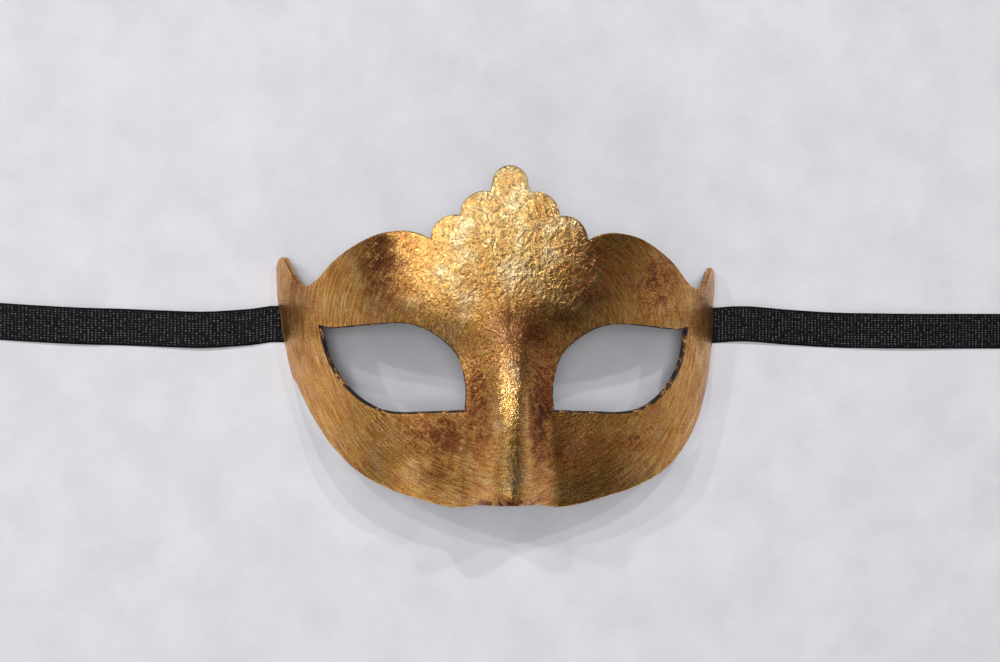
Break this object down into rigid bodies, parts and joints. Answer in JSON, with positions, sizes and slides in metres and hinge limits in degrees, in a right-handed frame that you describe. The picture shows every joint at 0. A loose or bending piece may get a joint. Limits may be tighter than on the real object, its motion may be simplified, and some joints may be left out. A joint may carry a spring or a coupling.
{
  "type": "venetian masquerade mask",
  "caption": "Gilded papier-mache half mask with a scalloped crown, pointed ears, cat-eye holes and a ribbon tie glued inside each ear, lying face up with the ties spread out.",
  "frame": {"origin": "on the surface that the mask lies on, under the middle of the mask's own box, without the ribbons", "axes": "+X to the right-hand ear as seen from the front, +Y up the face to the crown, +Z out of the face"},
  "size_m": [0.4762, 0.135, 0.0564],
  "materials": {
    "shell": "papier-mache gilded with burnished gold leaf over red bole",
    "lining": "thin black lining cloth",
    "glue": "cloudy hot-melt glue",
    "patch": "black felt",
    "ribbon": "black woven ribbed ribbon"
  },
  "bodies": {
    "root": {"mask_shell": "shell", "inner_lining": "lining", "left_glue_pad": "glue", "right_glue_pad": "glue", "left_patch": "patch", "right_patch": "patch", "left_ribbon": "ribbon", "right_ribbon": "ribbon", "left_ribbon_roll": "ribbon", "right_ribbon_roll": "ribbon"}
  },
  "joints": []
}
